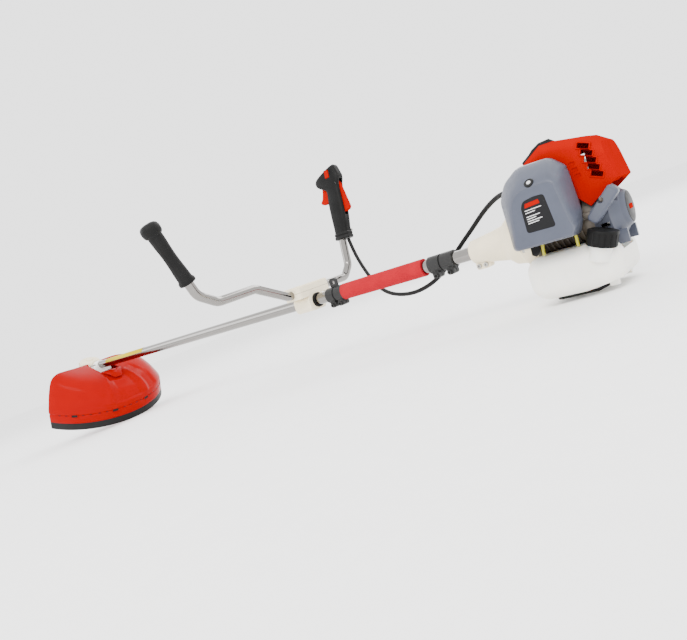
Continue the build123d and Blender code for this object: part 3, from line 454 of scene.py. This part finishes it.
def ease_between(value, low, high):
    """0 below low, 1 above high, smooth between."""
    t = max(0.0, min(1.0, (value - low) / (high - low)))
    return t * t * (3 - 2 * t)


def through(points, t):
    """A point on the smooth curve through these (u, v) points, t from 0 to 1."""
    place = t * (len(points) - 1)
    index = min(int(place), len(points) - 2)
    t = place - index
    p = [Vector(points[max(0, min(len(points) - 1, index + k))]) for k in (-1, 0, 1, 2)]
    return 0.5 * ((2 * p[1]) + (p[2] - p[0]) * t + (2 * p[0] - 5 * p[1] + 4 * p[2] - p[3]) * t ** 2
                  + (3 * p[1] - p[0] - 3 * p[2] + p[3]) * t ** 3)


# ---- guard ----
HOOD_REAR = [(26, 20), (80, 17), (130, 11), (166, 1), (192, -15), (207, -33), (215.6, -52), (217.3, -64),
             (217.5, -75), (217.5, -79), (217.5, -104)]
HOOD_NEAR = [(26, 20), (80, 28), (130, 37), (162, 40), (188, 28), (204, -8), (214, -48), (217.2, -62),
             (217.5, -75), (217.5, -79), (217.5, -104)]
HOOD_FAR = [(26, 20), (80, 26), (130, 18), (160, 2), (184, -22), (202, -48), (212, -63), (216.5, -70),
            (217.5, -75), (217.5, -79), (217.5, -104)]


RIM_RADIUS = 217.5       # of the hood's outer wall
HALF_SWEEP = 73          # degrees from the middle of the hood to its front edges
CHANNEL_HALF = 33.5      # half width of the tube's channel
CHANNEL_END = 124        # radius where the channel closes
CHANNEL_DEPTH = 0.0255   # of its floor under the tube's axis, in metres
COLUMNS, ROWS = 64, 72   # points across and down each half of the hood
HOOK_ANGLES = (-50, -17, 14, 47)
# angles of the black ovals in the groove's dimples: painted shade
DIMPLE_SHADE_ANGLES = (-63, -57, -43, -37, -30, -24, -9, -3, 3, 8, 21, 27, 34, 40, 54, 60)


def hood_point(angle, s):
    """Hood surface, radius and height in the guard's frame, with its ridges, scoops and groove."""
    side = (abs(angle) / HALF_SWEEP) ** 1.5

    def plain(t):
        return through(HOOD_REAR, t).lerp(through(HOOD_FAR if angle > 0 else HOOD_NEAR, t), side)

    here = plain(s)
    slope = plain(min(1, s + 0.01)) - plain(max(0, s - 0.01))
    out = Vector((-slope.y, slope.x)).normalized()
    reach = ease_between(here.x, 112, 150) * (1 - ease_between(-here.y, 52, 60))
    lift = 3.2 * exp(-((angle + 18) / 2.6) ** 2) * reach
    lift -= 7.5 * ease_between(angle, -17, -9) * (1 - ease_between(angle, 9, 15)) * reach
    lift += 3.0 * exp(-((angle - 17) / 1.8) ** 2) * reach
    lift -= 4.5 * ease_between(angle, 19, 23) * (1 - ease_between(angle, 31, 37)) * reach
    lift -= 2.0 * exp(-((here.y + 77) / 1.6) ** 2)
    return here + out * lift


def hood_half(side):
    """Rows of points from one front edge to the tube's channel, or to the middle behind it."""
    points = []
    for row in range(ROWS):
        s = row / (ROWS - 1)
        radius = through(HOOD_REAR, s).x
        inner = degrees(asin(min(1.0, CHANNEL_HALF / radius)))
        inner *= 1 - ease_between(radius, 112, 132)
        inner = min(inner, 62)
        for column in range(COLUMNS):
            angle = HALF_SWEEP + (inner - HALF_SWEEP) * column / (COLUMNS - 1)
            r, z = hood_point(side * angle, s)
            a = radians(side * angle)
            points.append(GUARD(r * cos(a), r * sin(a), z))
    return points


def channel_wall(half, base, low):
    """The wall from a half's inner edge down to the channel's floor; base and low number the points."""
    inner = COLUMNS - 1
    open_rows = [row for row in range(ROWS) if through(HOOD_REAR, row / (ROWS - 1)).x < CHANNEL_END]
    feet = []
    for row in open_rows:
        edge = half[row * COLUMNS + inner]
        level = (edge - ORIGIN).dot(ABOVE)
        feet.append(edge - ABOVE * (level + CHANNEL_DEPTH))
    walls = []
    for index, (row, after) in enumerate(zip(open_rows, open_rows[1:])):
        a, b = base + row * COLUMNS + inner, base + after * COLUMNS + inner
        walls.append((a, b, low + index + 1, low + index))
    return feet, walls


def guard():
    """The red hood in two halves, the floor of its channel, its hooks, and black ovals in the groove's
    dimples as painted shade.
    """
    points, faces = [], []
    for side in (-1, 1):
        half = hood_half(side)
        base = len(points)
        points += half
        faces += strip_faces(ROWS, COLUMNS, start=base)
        feet, walls = channel_wall(half, base, len(points))
        points += feet
        faces += walls
    hood = piece("guard_hood", points, faces, RED, thick=0.003, smooth=42)
    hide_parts("guard_shield")
    tray = [(-22, -24.6, 33.5), (58, -25.1, 34.5), (70, -30.5, 31), (80, -39, 22), (92, -53, 14)]
    floor = [SHAFT(x, y, z) for x, z, half in tray for y in (-half, half)]
    piece("guard_channel_floor", floor, strip_faces(len(tray), 2), RED, thick=0.002, smooth=60)
    for index, angle in enumerate(HOOK_ANGLES):
        hook(index, angle)
    for index, angle in enumerate(DIMPLE_SHADE_ANGLES):
        dimple_shade(index, angle)


def on_rim(angle):
    """Turns (along the rim, height, outward) about an angle of the hood's rim into the row frame."""
    def place(across, z, out):
        a = radians(angle) + across / RIM_RADIUS
        return GUARD((RIM_RADIUS + out) * cos(a), (RIM_RADIUS + out) * sin(a), z)
    return place


def hook(index, angle):
    """A skirt hook in its slot, with the raised red bead round it."""
    shape = rounded([(-9, -82.5), (9, -82.5), (9, -74), (-9, -74)], 1.5, 3)
    wide = rounded([(-11.5, -84.8), (11.5, -84.8), (11.5, -71.7), (-11.5, -71.7)], 3, 3)
    slot = [(u * 1.05, v) for u, v in shape]
    stacked(f"hook_{index}", on_rim(angle), layers(shape, (-2.5, 0.5)), BLACK, bevel=0.0004)
    stacked(f"hook_bead_{index}", on_rim(angle), layers(wide, (-1, 0.7)) + layers(slot, (0.7, -2)), RED,
            close=False, bevel=0.0003)


def dimple_shade(index, angle):
    """A black oval in a dimple of the groove: painted shade where the dimple's hollow is shaded."""
    oval = [(4.2 * cos(k * pi / 6), -77 + 1.5 * sin(k * pi / 6)) for k in range(12)]
    stacked(f"dimple_shade_{index}", on_rim(angle), layers(oval, (-3.0, -0.6)), BLACK)


guard()


# ---- air cleaner cover ----
RIM = [(1558, -16), (1559, 72), (1574, 98), (1602, 116), (1654, 114), (1677, 92), (1680, 10), (1668, -17)]
FACE = [(1580, -12), (1590, 56), (1597, 70), (1612, 79), (1657, 79), (1667, 72), (1677, 2), (1674, -12)]


MIDDLE = (1630, 34)
# how far the outline has drawn in from rim to face, its depth, and how much it swells
COVER_STEPS = [(0, -64, 0), (0, -70, 0), (0, -74, -0.2), (0.05, -78, -0.6), (0.2, -86, 0),
               (0.4, -95, 0.5), (0.6, -104, 1.0), (0.78, -111.5, 1.2), (0.9, -116, 0.9),
               (0.97, -118.6, 0.2), (1.0, -119.7, -2.5)]


def cover_ring(t, depth, grow):
    """The cover's outline at one step, with shallow scallops down its rear edge."""
    ring = []
    for a, b in zip(rounded(RIM, 9, 6), rounded(FACE, 8, 6)):
        p = a.lerp(b, t)
        scallop = 0.0
        if p.x > 1664 and 5 < p.y < 90:
            scallop = 1.6 * (1 + cos((p.y - 8) * 2 * pi / 27)) / 2
        p += (p - Vector(MIDDLE)).normalized() * grow
        ring.append((p.x - scallop, depth, p.y))
    return ring


def cover():
    """Moulded shell: straight skirt, slanted shoulders, softly rounded face."""
    rings = [cover_ring(*step) for step in COVER_STEPS]
    shell = stacked("air_cleaner_shell", SHAFT, rings, GREY, close=False, thick=0.0024, smooth=50)
    cap, (x0, z0) = rings[-1], MIDDLE
    inner = [((x - x0) * 0.5 + x0, y, (z - z0) * 0.5 + z0) for x, y, z in cap]
    stacked("air_cleaner_face", SHAFT, [cap, inner], GREY, close=False, smooth=50)
    piece("air_cleaner_face_middle", [SHAFT(*p) for p in inner], [tuple(range(len(inner)))], GREY)
    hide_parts("air_cleaner_cover")


def plate():
    """Plain dark plate with one red bar and a few pale strokes on the cover's face."""
    shape = rounded([(1606, 10), (1652, 9), (1647, 62), (1630, 63), (1612, 60), (1607, 50)], 5, 4)
    stacked("cover_plate", SHAFT, upright_layers(shape, (-119.2, -120.1)), DARK_PLATE, bevel=0.0002)
    bar = rounded([(1613, 49), (1638, 50.5), (1637, 57), (1615, 55.5)], 0.8, 2)
    stacked("cover_plate_bar", SHAFT, upright_layers(bar, (-120.0, -120.3)), ORANGE_RED)
    x = 1612
    strokes = ((44, 27), (40, 16), (34, 22), (30.5, 15), (27, 24), (23.5, 18))
    for index, (z, run) in enumerate(strokes):
        dash = [(x, z), (x + run, z + 1), (x + run, z + 2.2), (x, z + 1.2)]
        stacked(f"cover_plate_dash_{index}", SHAFT, upright_layers(dash, (-120.0, -120.25)), PALE)


def cover_screw_cup():
    """Dark recess round the cover's screw, and the screw's pan head."""
    cup = Local((1629, -115.9, 85.4), (1, 0, 0), (0, -0.715, 0.70))
    recess = [(3.4, -4), (3.6, 0.4), (6.8, 0.9), (7.6, 0.2), (7.8, -3)]
    lathe("cover_screw_cup", cup, recess, BLACK, sides=40)
    lathe("cover_screw_head", cup, [(0.01, 1.4), (2.6, 1.2), (3.5, 0.3), (3.5, -3)], PALE, sides=32)


cover()
plate()
cover_screw_cup()


# ---- left grip ----
GRIP_FOOT, GRIP_TIP = Vector((1012, -306, 90)), Vector((1012, -358, 234))
GRIP_LENGTH = 124
FLUTES = 12              # shallow finger grooves round the grip
FOOT_FLARE = [(10.2, 0.4), (15.6, 0), (17.4, 1.2), (17.8, 4), (17.4, 7.5), (15.2, 11)]
TIP_FLARE = [(14.6, 108), (17.6, 110.5), (19.4, 114), (20.2, 119), (20.0, 125), (18.2, 130),
             (14, 133.4), (8, 135.0), (0.01, 135.4)]


def grip():
    """Rubber grip: flared ends, rounded tip, and rows of shallow finger grooves."""
    along = (GRIP_TIP - GRIP_FOOT).normalized()
    place = Local(GRIP_TIP - along * GRIP_LENGTH, (1, 0, 0), along)
    profile = list(FOOT_FLARE)
    for step in range(1, 24):
        z = 11 + step * 4.1
        profile.append((14.0 + 0.9 * cos((z - 12) * 2 * pi / 96), z))
    fluted = range(len(FOOT_FLARE), len(profile) - 1)
    profile += TIP_FLARE

    def ripple(index, angle):
        return -0.45 * max(0.0, cos(FLUTES * angle)) ** 3 if index in fluted else 0.0

    made = lathe("rubber_grip", place, profile, RUBBER, sides=144, smooth=60, ripple=ripple)
    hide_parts("left_grip")


grip()


# ---- labels and bands ----
def band(name, x0, x1, radius, finish, turn0, turn1, steps=48):
    """A thin band on the tube between two angles about its axis, 0 at the top."""
    points = []
    for x in (x0, x1):
        for step in range(steps + 1):
            angle = radians(turn0 + (turn1 - turn0) * step / steps)
            points.append(SHAFT(x, radius * sin(angle), radius * cos(angle)))
    return piece(name, points, strip_faces(2, steps + 1), finish, thick=0.00025)


def starter_badge():
    """Plain round badge with a red bar in the middle of the starter housing."""
    disc = [(0.01, 1734.0), (24.0, 1733.7), (25.4, 1733.3), (25.6, 1732.4)]
    lathe("starter_badge", CRANK, disc, DARK_PLATE)
    bar = rounded([(-10, -4), (10, -4), (10, 4), (-10, 4)], 1.0, 2)
    stacked("starter_badge_bar", CRANK, layers(bar, (1733.6, 1734.6)), ORANGE_RED)


band("tube_band", 62, 290, 13.35, YELLOW, -80, 12)
starter_badge()


# ---- throttle handle ----
# height along the handle, front, rear and half width
SHELL_SECTIONS = [
    (-12, -13.6, 28.6, 16), (-11, -15, 30, 17.2), (-6, -15.4, 30.4, 17.6), (-3.5, -13.8, 28.8, 16),
    (-1, -15, 30, 17), (3, -14.6, 29.6, 16.6), (5, -12.8, 27.6, 14.8), (15, -12.6, 27.4, 14.4),
    (30, -13, 29.4, 15), (47, -13.4, 31.2, 15.6), (60, -13.6, 32, 16), (85.5, -13.4, 31.6, 16),
    (100, -12, 31, 15.8), (112, -10.8, 30.6, 15.8), (121, -12, 30.6, 16), (129, -24, 31.5, 16.4),
    (134, -33, 33, 16.8), (139, -39, 35, 17), (141.5, -41, 35.6, 17), (147, -43, 36.6, 17),
    (152, -43, 36.6, 16.8),
    (157, -40.5, 35, 16.4), (161, -35, 33.6, 15.9), (166, -24, 32, 15.4), (170, -13.5, 30.4, 14.6),
    (175, 0, 28.8, 13), (179, 10, 27.2, 10.4), (181.5, 17, 25, 7.4),
]
TRIGGER_SLOT = 6.6     # half widths of the two lever slots
LOCKOUT_SLOT = 5.8


QUARTER = 12             # steps round each quarter of a section
TRIGGER_SPAN, LOCKOUT_SPAN, SLOTS_TOP = 85, 46, 142    # heights where the slots begin and end


def shell_section(front, rear, half):
    """Oval ring with flat strips at the front and rear as wide as the lever slots."""
    middle = (front + rear) / 2
    ring = []
    for end, strip, turn in ((rear, LOCKOUT_SLOT, 1), (front, TRIGGER_SLOT, -1)):
        for step in range(QUARTER + 1):
            t = pi / 2 * (step if turn > 0 else QUARTER - step) / QUARTER
            x = middle + (end - middle) * max(0.0, cos(t)) ** 0.75
            ring.append((x, strip + (half - strip) * max(0.0, sin(t)) ** 0.75))
    return ring + [(x, -y) for x, y in reversed(ring)]


def shell_faces(count):
    """Faces between the shell's rings of this many points, left open along the two slots."""
    faces = []
    front, rear = 2 * QUARTER + 1, count - 1
    for row in range(len(SHELL_SECTIONS) - 1):
        low, high = SHELL_SECTIONS[row][0], SHELL_SECTIONS[row + 1][0]
        for column in range(count):
            if column == front and TRIGGER_SPAN < low and high < SLOTS_TOP:
                continue
            if column == rear and LOCKOUT_SPAN < low and high < SLOTS_TOP:
                continue
            after = (column + 1) % count
            a, b = row * count, (row + 1) * count
            faces.append((a + column, a + after, b + after, b + column))
    last = (len(SHELL_SECTIONS) - 1) * count
    return faces + [tuple(range(count)), tuple(range(last, last + count))]


def throttle_shell():
    """Both halves of the handle's shell, open along the trigger and lockout slots."""
    rings = [shell_section(*section[1:]) for section in SHELL_SECTIONS]
    points = [HANDLE(x, y, section[0]) for section, ring in zip(SHELL_SECTIONS, rings) for x, y in ring]
    shell = piece("throttle_shell", points, shell_faces(len(rings[0])), BLACK, thick=0.002, smooth=40)
    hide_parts("throttle_housing", "throttle_housing_cover")


def stop_button_bezel():
    """Raised frame round the stop button on the handle's left side."""
    bezel = rounded([(-3.5, 146.5), (15.5, 146.5), (15.5, 172), (-3.5, 172)], 4, 4)
    hole = rounded([(-1, 149.5), (13, 149.5), (13, 170.5), (-1, 170.5)], 1.5, 4)
    rings = upright_layers(bezel, (-14, -16.8)) + upright_layers(hole, (-16.8, -14))
    stacked("stop_button_bezel", HANDLE, rings, BLACK, close=False, bevel=0.0005)


throttle_shell()
stop_button_bezel()


# ---- top cover's louvre frames, plug boot, starter rope ----
def louvre_frames():
    """Raised frames round the row of recesses in the top cover's left wall."""
    outer = rounded([(-11, -5.8), (11, -5.8), (11, 5.8), (-11, 5.8)], 1.5, 3)
    inner = rounded([(-9, -4), (9, -4), (9, 4), (-9, 4)], 0.6, 3)
    turn = radians(24)
    for row in range(5):
        face = Local((1703 + 2.2 * row, -51, 113 - 12 * row), (cos(turn), 0, -sin(turn)), (0, -1, 0))
        rings = layers(outer, (-3, 1.3)) + layers(inner, (1.3, -2))
        stacked(f"louvre_frame_{row}", face, rings, ORANGE_RED, close=False, bevel=0.0004)


BOOT_PATH = [(1600, -24, 112), (1608, -23, 124), (1619, -21, 132), (1631, -18, 137), (1643, -14, 138),
             (1650, -10, 132), (1650, -8, 122)]
BOOT_RADII = (4, 5, 7, 8.5, 8.5, 8, 8)
BOOT_SIDES = 28


def plug_boot():
    """Rubber boot standing out of the top cover's opening, with the lead running forward and down."""
    points, last = [], len(BOOT_PATH) - 1
    side = Vector((0, 1, 0))
    for index, (middle, radius) in enumerate(zip(BOOT_PATH, BOOT_RADII)):
        before, after = Vector(BOOT_PATH[max(0, index - 1)]), Vector(BOOT_PATH[min(last, index + 1)])
        top = (after - before).normalized().cross(side).normalized()
        for step in range(BOOT_SIDES):
            angle = 2 * pi * step / BOOT_SIDES
            points.append(SHAFT(*(Vector(middle) + (side * cos(angle) + top * sin(angle)) * radius)))
    faces = strip_faces(len(BOOT_PATH), BOOT_SIDES, closed=True)
    faces += [tuple(range(BOOT_SIDES)), tuple(range(len(points) - BOOT_SIDES, len(points)))]
    piece("plug_boot", points, faces, RUBBER, smooth=70)


def rope():
    """Starter rope from inside the housing to its knot in the grip."""
    line = Local((1710, 0, 25.1), (1, 0, 0), (0, -1, 0))
    profile = [(0.01, 2)] + [(1.75, 2 + step * 1.25) for step in range(45)]
    profile += [(3.4, 57.5), (3.9, 59), (3.4, 61), (0.01, 61.5)]
    made = lathe("rope", line, profile, ROPE, body=None, sides=24, smooth=60)
    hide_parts("starter_rope")
    at(1710, -4, 25.1)
    at(1710, -52, 25.1)
    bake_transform(made)


louvre_frames()
plug_boot()
rope()


# ---- floor and light ----
def stage():
    """A pale matt floor under an even white sky."""
    floor_paint = surface("floor", (0.93, 0.93, 0.93), 0.9, grain=40, depth=0.0001, vary=0.01, wear=0.0)
    mesh = bpy.data.meshes.new("floor")
    mesh.from_pydata([(-30, -30, 0), (30, -30, 0), (30, 30, 0), (-30, 30, 0)], [], [(0, 1, 2, 3)])
    mesh.materials.append(floor_paint)
    floor = bpy.data.objects.new("floor", mesh)
    bpy.context.scene.collection.objects.link(floor)
    floor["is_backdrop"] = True
    world = bpy.data.worlds.new("world")
    world.use_nodes = True
    world.node_tree.nodes["Background"].inputs["Color"].default_value = (1.0, 1.0, 1.0, 1)
    world.node_tree.nodes["Background"].inputs["Strength"].default_value = 2.6
    bpy.context.scene.world = world


def lamp(name, place, target, size, power, colour=(1, 1, 1)):
    """A rectangular lamp facing a target."""
    light = bpy.data.lights.new(name, "AREA")
    light.shape = "RECTANGLE"
    light.size, light.size_y = size
    light.energy = power
    light.color = colour
    lit = bpy.data.objects.new(name, light)
    lit.location = place
    lit.rotation_euler = (Vector(target) - Vector(place)).to_track_quat("-Z", "Y").to_euler()
    bpy.context.scene.collection.objects.link(lit)


stage()
lamp("key", (1.6, -2.6, 2.6), (0.3, 0, 0.1), (2.2, 1.4), 120, (1, 0.98, 0.95))
lamp("fill", (-2.4, -1.6, 1.6), (-0.4, 0, 0.1), (2.0, 1.5), 35, (0.96, 0.98, 1))
lamp("rim", (0.4, 2.6, 2.4), (0.2, 0, 0.1), (3.0, 1.2), 60)

# ---- end ----
[[list(corner) for corner in box] for box in (cad_box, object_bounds())]
